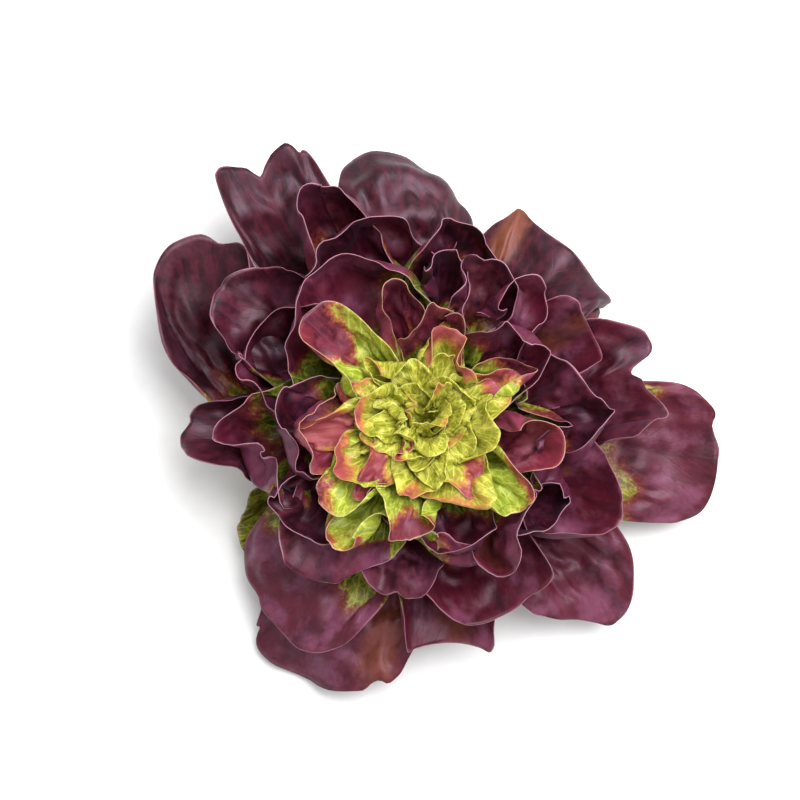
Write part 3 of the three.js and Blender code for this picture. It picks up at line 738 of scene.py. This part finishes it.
# How much further the green reaches in single leaves, as a share of the leaf.
GREENER = {
    "outer_leaf_01": 0.75,
    "middle_leaf_11": 0.12,
    "inner_leaf_01": 0.12,
    "inner_leaf_02": -0.3,
    "inner_leaf_03": -0.3,
    "inner_leaf_04": -0.2,
    "inner_leaf_05": 0.1,
    "inner_leaf_06": -0.12,
    "inner_leaf_07": 0.12,
    "inner_leaf_08": -0.24,
    "inner_leaf_09": 0.34,
    "inner_leaf_10": -0.02,
}
# A brown place in a single leaf, where the blade is thin: across, along, and how strong.
WARM = {
    "outer_leaf_03": (0.5, 0.72, 0.5),
    "outer_leaf_07": (0.6, 0.75, 0.62),
    "outer_leaf_11": (0.1, 0.75, 0.5),
    "outer_leaf_13": (0.2, 0.8, 0.45),
    "middle_leaf_11": (-0.3, 0.7, 0.35),
}
WARM_SPREAD = 0.42
GREEN_CELLS = (4, 6)  # how uneven the edge of the green is
SKIN_SEED = 500
# How light a single leaf is, partly painted light, and how much painted sheen it has, from 0 to 1.
TONE = {
    "outer_leaf_02": 0.8,
    "outer_leaf_03": 0.9,
    "outer_leaf_04": 0.1,
    "outer_leaf_05": 0.1,
    "outer_leaf_06": 0.8,
    "outer_leaf_07": 0,
    "outer_leaf_08": 0,
    "outer_leaf_10": 0.9,
    "outer_leaf_14": 1,
    "outer_leaf_16": 0.2,
}


def tip_reach(grid):
    """How far a leaf's tip is from the stem's axis."""
    return np.linalg.norm(grid[-1, grid.shape[1] // 2, :2])


def colour_fields(name, grid, random):
    """What a leaf's material reads: its green base, its tone (which also sets painted light and
    sheen) and its warmth, for each point of the grid.
    """
    kind = family(name)
    rows, columns = grid.shape[0] - 1, grid.shape[1] - 1
    along, across = flat_places(rows, columns)
    start, end = GREEN[kind]
    shift = random.uniform(-0.08, 0.08) + GREENER.get(name, 0)
    if kind == "heart":
        redder = 0.5 * smooth(tip_reach(grid), 30, 56)
        shift = random.uniform(-0.2, 0.2) - redder * random.uniform(0.3, 1.4)
    spread = 0.16 * bumps(random, rows, columns, GREEN_CELLS) - 0.12 * np.abs(across)
    green = 1 - smooth(along - shift + spread, start, end)
    anywhere = (random.uniform(-0.8, 0.8), random.uniform(0.5, 0.9), random.uniform(0, 0.25))
    place, high, strength = WARM.get(name, anywhere)
    away = np.hypot(across - place, along - high)
    warm = strength * (1 - smooth(away, 0.25 * WARM_SPREAD, WARM_SPREAD)) * np.ones_like(along)
    tone = TONE.get(name, random.uniform(0, 1))
    return {"green": green, "tone": np.array(tone), "warm": warm}


# ---- Node helpers ----
class Nodes:
    """Short calls that add nodes to a material and link them."""

    def __init__(self, name):
        self.material = bpy.data.materials.new(name)
        self.material.use_nodes = True
        self.tree = self.material.node_tree
        self.shader = self.tree.nodes["Principled BSDF"]

    def add(self, kind, inputs, output=0, **settings):
        node = self.tree.nodes.new(kind)
        for key, value in settings.items():
            setattr(node, key, value)
        for key, value in inputs.items():
            self.put(node.inputs[key], value)
        return node.outputs[output]

    def put(self, socket, value):
        if isinstance(value, bpy.types.NodeSocket):
            self.tree.links.new(value, socket)
        else:
            socket.default_value = value

    def value(self, name):
        return self.add("ShaderNodeAttribute", {}, "Fac", attribute_name=name)

    def maths(self, operation, a, b=0.0, c=0.0):
        return self.add("ShaderNodeMath", {0: a, 1: b, 2: c}, operation=operation)

    def step(self, x, low, high, bottom=0.0, top=1.0):
        inputs = {"Value": x, "From Min": low, "From Max": high, "To Min": bottom, "To Max": top}
        return self.add("ShaderNodeMapRange", inputs, interpolation_type="SMOOTHSTEP")

    def mix(self, share, a, b):
        node = self.tree.nodes.new("ShaderNodeMix")
        node.data_type = "RGBA"
        for key, value in (("Factor_Float", share), ("A_Color", a), ("B_Color", b)):
            socket = next(s for s in node.inputs if s.identifier == key)
            self.put(socket, value)
        return next(s for s in node.outputs if s.identifier == "Result_Color")

    def noise(self, place, scale, detail, roughness=0.55):
        inputs = {"Vector": place, "Scale": scale, "Detail": detail, "Roughness": roughness}
        return self.add("ShaderNodeTexNoise", inputs, "Fac")

    def bump(self, height, strength, distance):
        inputs = {"Height": height, "Strength": strength, "Distance": distance}
        return self.add("ShaderNodeBump", inputs, "Normal")


def linear(red, green, blue):
    """A colour given in 0 to 255 as a screen shows it, as the numbers a shader takes."""
    values = [c / 255 for c in (red, green, blue)]
    return tuple(c / 12.92 if c <= 0.04045 else ((c + 0.055) / 1.055) ** 2.4 for c in values) + (1,)


# dark and light: the blade's inner face. The greyer violet on it is painted sheen. back: its outer
# face.
# base: the green of its foot, darker in outer and middle leaves as painted shade down among the
# leaves.
# pale: the paler green in it. blush: where red and green meet. rim: a painted highlight along the
# margin.
COLOURS = {
    "outer": dict(
        dark=(26, 3, 10), light=(80, 18, 34), painted_sheen=(116, 62, 88), back=(82, 28, 48),
        base=(66, 76, 16), pale=(150, 150, 50), blush=(104, 38, 26), rim=(160, 104, 122),
    ),
    "middle": dict(
        dark=(26, 2, 12), light=(84, 18, 38), painted_sheen=(118, 60, 88), back=(98, 34, 60),
        base=(62, 76, 14), pale=(150, 160, 50), blush=(112, 40, 32), rim=(196, 144, 162),
    ),
    "inner": dict(
        dark=(60, 10, 28), light=(124, 40, 58), painted_sheen=(158, 92, 108), back=(138, 60, 84),
        base=(128, 146, 30), pale=(194, 202, 88), blush=(152, 74, 50), rim=(212, 178, 150),
    ),
    "heart": dict(
        dark=(104, 30, 42), light=(158, 70, 72), painted_sheen=(176, 104, 100), back=(160, 80, 80),
        base=(128, 136, 20), pale=(208, 200, 88), blush=(184, 120, 62), rim=(216, 212, 130),
    ),
}
THIN = linear(116, 60, 34)  # where the blade is thin
GLOSS_TINT = linear(246, 216, 234)
SHEEN_TINT = linear(205, 175, 215)
# How strong the painted highlight along the margin is, for each family.
RIM_HIGHLIGHT = {"outer": 0.6, "middle": 0.6, "inner": 0.45, "heart": 0.3}
SHEEN = {"outer": 0.06, "middle": 0.04, "inner": 0.03, "heart": 0.03}
GLOSS = {"outer": 0.45, "middle": 0.45, "inner": 0.42, "heart": 0.42}
GLOW = {"outer": 0.05, "middle": 0.05, "inner": 0.3, "heart": 0.3}  # light through the blade


def leaf_material(kind):
    """Skin in reds with painted sheen, a green base that is partly painted shade, veins and a
    painted rim highlight, for one family of leaves.
    """
    nodes = Nodes(f"{kind}_leaf")
    colours = {part: linear(*values) for part, values in COLOURS[kind].items()}
    place = nodes.add("ShaderNodeTexCoord", {}, "Object")
    flat = nodes.add("ShaderNodeUVMap", {}, "UV", uv_map="UVMap")
    split = nodes.tree.nodes.new("ShaderNodeSeparateXYZ")
    nodes.tree.links.new(flat, split.inputs[0])
    along, across = split.outputs[0], nodes.maths("ABSOLUTE", split.outputs[1])
    edge, back, green = nodes.value("edge"), nodes.value("back"), nodes.value("green")
    tone, warm = nodes.value("tone"), nodes.value("warm")
    broad = nodes.noise(place, 38.0, 2.0)
    fine = nodes.noise(place, 210.0, 4.0)
    speckle = nodes.noise(place, 620.0, 3.0)
    stretched = nodes.maths("MULTIPLY", along, 0.16)
    fan = nodes.add("ShaderNodeCombineXYZ", {0: nodes.value("fan"), 1: stretched, 2: tone})
    streak = nodes.noise(fan, 17.0, 4.0, 0.6)

    # Veins: a midrib, side veins that leave it and bend towards the tip, and a fine net.
    wobble = nodes.maths("MULTIPLY", nodes.maths("SUBTRACT", fine, 0.5), 0.5)
    rank = nodes.maths("MULTIPLY_ADD", along, 9.0, wobble)
    rank = nodes.maths("MULTIPLY_ADD", nodes.maths("POWER", across, 0.75), -5.2, rank)
    off = nodes.maths("ABSOLUTE", nodes.maths("SUBTRACT", nodes.maths("FRACT", rank), 0.5))
    side_vein = nodes.step(off, 0.02, 0.1, 1.0, 0.0)
    mid_wide = nodes.maths("MULTIPLY_ADD", along, -0.05, 0.07)
    midrib = nodes.step(nodes.maths("DIVIDE", across, mid_wide), 0.3, 1.0, 1.0, 0.0)
    cell_inputs = {"Vector": place, "Scale": 190.0}
    cells = nodes.add(
        "ShaderNodeTexVoronoi", cell_inputs, "Distance", feature="DISTANCE_TO_EDGE"
    )
    net = nodes.step(cells, 0.0, 0.09, 1.0, 0.0)
    vein = nodes.maths("MAXIMUM", nodes.maths("MULTIPLY", side_vein, 0.6), midrib)
    vein = nodes.maths("MAXIMUM", vein, nodes.maths("MULTIPLY", net, 0.35))

    # Skin: dark to light in soft patches and fine mottling, lighter with the leaf's tone, partly as
    # painted light, and paler on the outer face.
    lightness = nodes.maths("MULTIPLY", tone, 0.45)
    patch = nodes.maths("ADD", nodes.maths("MULTIPLY", broad, 0.9), lightness)
    patch = nodes.step(patch, 0.46, 0.94)
    skin = nodes.mix(patch, colours["dark"], colours["light"])
    half_streak = nodes.maths("MULTIPLY", streak, 0.5)
    mottle = nodes.maths("ADD", nodes.maths("MULTIPLY", fine, 0.5), half_streak)
    mottle = nodes.step(mottle, 0.4, 0.66)
    skin = nodes.mix(nodes.maths("MULTIPLY", mottle, 0.6), skin, colours["light"])
    skin = nodes.mix(nodes.step(streak, 0.34, 0.56, 0.4, 0.0), skin, colours["dark"])
    # Painted sheen: greyer violet patches where a soft light would gleam, stronger on leaves of
    # higher tone.
    painted_sheen = nodes.noise(place, 52.0, 5.0, 0.6)
    painted_sheen_strength = nodes.step(tone, 0.0, 1.0, 0.15, 0.8)
    painted_sheen_share = nodes.maths("MULTIPLY", nodes.step(painted_sheen, 0.44, 0.68), painted_sheen_strength)
    skin = nodes.mix(painted_sheen_share, skin, colours["painted_sheen"])
    outside = nodes.maths("MULTIPLY", back, nodes.step(streak, 0.3, 0.7, 0.25, 0.8))
    skin = nodes.mix(outside, skin, colours["back"])
    skin = nodes.mix(nodes.maths("MULTIPLY", vein, 0.28), skin, colours["back"])
    thin = nodes.step(nodes.maths("MULTIPLY_ADD", fine, 0.5, warm), 0.35, 1.05)
    skin = nodes.mix(thin, skin, THIN)

    # Green: the base, darkened in outer and middle leaves as painted shade, with paler ribs, and a
    # blush where it meets the red.
    ribs = nodes.maths("MULTIPLY_ADD", streak, 0.6, nodes.maths("MULTIPLY", fine, 0.4))
    ribs = nodes.maths("MULTIPLY_ADD", vein, 0.3, ribs)
    leafy = nodes.mix(nodes.step(ribs, 0.4, 0.72), colours["base"], colours["pale"])
    meets = nodes.maths("MULTIPLY_ADD", nodes.maths("SUBTRACT", speckle, 0.5), 0.7, green)
    meets = nodes.maths("MULTIPLY_ADD", nodes.maths("SUBTRACT", fine, 0.5), 0.6, meets)
    to_blush = nodes.step(meets, 0.12, 0.5)
    to_green = nodes.step(meets, 0.36, 0.78)
    colour = nodes.mix(to_blush, skin, colours["blush"])
    colour = nodes.mix(to_green, colour, leafy)

    # Rim: a painted highlight, a pale line of uneven width along the margin where it would catch
    # the light.
    rim_highlight_width = nodes.step(nodes.noise(place, 55.0, 2.0), 0.4, 0.68, 0.05, 1.1)
    rim_highlight = nodes.step(nodes.maths("DIVIDE", edge, rim_highlight_width), 0.2, 1.0, RIM_HIGHLIGHT[kind], 0.0)
    colour = nodes.mix(rim_highlight, colour, colours["rim"])
    nodes.put(nodes.shader.inputs["Base Color"], colour)

    # Surface: fine relief with grooves at the veins, and a soft gloss.
    rough = nodes.step(fine, 0.3, 0.75, 0.4, 0.54)
    nodes.put(nodes.shader.inputs["Roughness"], rough)
    net_groove = nodes.maths("MULTIPLY", net, 0.1)
    grooves = nodes.maths("MAXIMUM", nodes.maths("MULTIPLY", side_vein, 0.4), net_groove)
    height = nodes.maths("MULTIPLY_ADD", streak, 0.7, nodes.maths("MULTIPLY", fine, 0.5))
    height = nodes.maths("MULTIPLY_ADD", grooves, -0.5, height)
    nodes.put(nodes.shader.inputs["Normal"], nodes.bump(height, 0.5, 0.0004))
    nodes.shader.inputs["Specular IOR Level"].default_value = GLOSS[kind]
    nodes.shader.inputs["Specular Tint"].default_value = GLOSS_TINT
    nodes.shader.inputs["Sheen Weight"].default_value = SHEEN[kind]
    nodes.shader.inputs["Sheen Roughness"].default_value = 0.45
    nodes.shader.inputs["Sheen Tint"].default_value = SHEEN_TINT
    nodes.shader.inputs["Subsurface Weight"].default_value = GLOW[kind]
    nodes.shader.inputs["Subsurface Radius"].default_value = (1.0, 0.7, 0.25)
    nodes.shader.inputs["Subsurface Scale"].default_value = 0.004
    return nodes.material


def stem_material():
    """Pale green flesh with fibres up its side, and a browned cut below."""
    nodes = Nodes("stem_flesh")
    place = nodes.add("ShaderNodeTexCoord", {}, "Object")
    height = nodes.add("ShaderNodeSeparateXYZ", {0: place}, "Z")
    fine = nodes.noise(place, 260.0, 4.0)
    streak = nodes.add("ShaderNodeMapping", {"Vector": place, "Scale": (1.0, 1.0, 0.12)})
    fibre = nodes.noise(streak, 420.0, 3.0)
    flesh = nodes.mix(nodes.step(fibre, 0.35, 0.7), linear(196, 200, 136), linear(222, 222, 178))
    browned = nodes.step(fine, 0.4, 0.65)
    cut_face = nodes.mix(browned, linear(172, 132, 84), linear(206, 186, 132))
    colour = nodes.mix(nodes.step(height, 0.0002, 0.0012), cut_face, flesh)
    nodes.put(nodes.shader.inputs["Base Color"], colour)
    nodes.put(nodes.shader.inputs["Roughness"], nodes.step(fine, 0.3, 0.7, 0.4, 0.6))
    nodes.put(nodes.shader.inputs["Normal"], nodes.bump(fibre, 0.4, 0.0006))
    nodes.shader.inputs["Subsurface Weight"].default_value = 0.25
    nodes.shader.inputs["Subsurface Radius"].default_value = (1.0, 0.8, 0.4)
    nodes.shader.inputs["Subsurface Scale"].default_value = 0.004
    return nodes.material


def floor_material():
    """Pale paper."""
    nodes = Nodes("floor_paper")
    place = nodes.add("ShaderNodeTexCoord", {}, "Object")
    grain = nodes.noise(place, 60.0, 3.0)
    colour = nodes.mix(nodes.step(grain, 0.3, 0.7), (0.9, 0.9, 0.9, 1), (0.94, 0.94, 0.94, 1))
    nodes.put(nodes.shader.inputs["Base Color"], colour)
    nodes.shader.inputs["Roughness"].default_value = 0.9
    return nodes.material


# ---- The leaves ----
def leaf_names():
    """The names of all leaves, from the outermost inwards."""
    names = []
    for kind in ("outer", "middle", "inner"):
        names += sorted(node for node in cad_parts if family(node) == kind)
    reaches = {}
    for n in range(HEART_EXTRAS):
        reaches[f"heart_extra_{n + 1:02d}"] = tip_reach(extra_leaf(n))
    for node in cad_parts:
        if family(node) == "heart":
            reaches[node] = tip_reach(middle_surface(node, *CAD_GRID["heart"]))
    return names + sorted(reaches, key=reaches.get, reverse=True)


names = leaf_names()
grown = grow(names)
materials = {kind: leaf_material(kind) for kind in CAD_GRID}
for n, (name, grid) in enumerate(zip(names, grown)):
    random = np.random.default_rng(SKIN_SEED + n)
    fine_grid = detailed(name, refined(grid, *FINE_GRID[family(name)]), random)
    fields = colour_fields(name, fine_grid, random)
    piece = leaf_mesh(name.replace("leaf", "blade"), fine_grid, fields)
    piece.data.materials.append(materials[family(name)])
    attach(piece, "root")
    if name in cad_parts:
        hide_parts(name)

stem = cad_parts["stem"]
stem.data.materials.clear()
stem.data.materials.append(stem_material())

# ---- Floor, light and camera ----
bpy.ops.mesh.primitive_plane_add(size=6)
floor = bpy.context.object
floor.name = "floor"
floor.data.materials.append(floor_material())

world = bpy.data.worlds.new("studio")
world.use_nodes = True
background = world.node_tree.nodes["Background"]
background.inputs["Color"].default_value = (1, 1, 1, 1)
background.inputs["Strength"].default_value = 0.72
bpy.context.scene.world = world


def area_light(name, place, aim, size, energy):
    data = bpy.data.lights.new(name, "AREA")
    data.energy = energy
    data.size = size
    lamp = bpy.data.objects.new(name, data)
    lamp.location = place
    lamp.rotation_euler = (Vector(aim) - Vector(place)).to_track_quat("-Z", "Y").to_euler()
    bpy.context.scene.collection.objects.link(lamp)


area_light("key", place=(0.3, 0.26, 0.92), aim=(0, 0, 0.05), size=0.75, energy=16)

CAMERA_ELEVATION = math.radians(84)
CAMERA_AIM = Vector((-0.012, 0.012, 0.055))
CAMERA_DISTANCE = 0.907
camera_data = bpy.data.cameras.new("camera")
camera_data.lens = 85
camera_data.sensor_width = 36
camera = bpy.data.objects.new("camera", camera_data)
bpy.context.scene.collection.objects.link(camera)
back = Vector((0, -math.cos(CAMERA_ELEVATION), math.sin(CAMERA_ELEVATION)))
camera.location = CAMERA_AIM + back * CAMERA_DISTANCE
camera.rotation_euler = back.to_track_quat("Z", "Y").to_euler()
bpy.context.scene.camera = camera
bpy.context.scene.view_settings.view_transform = "Standard"
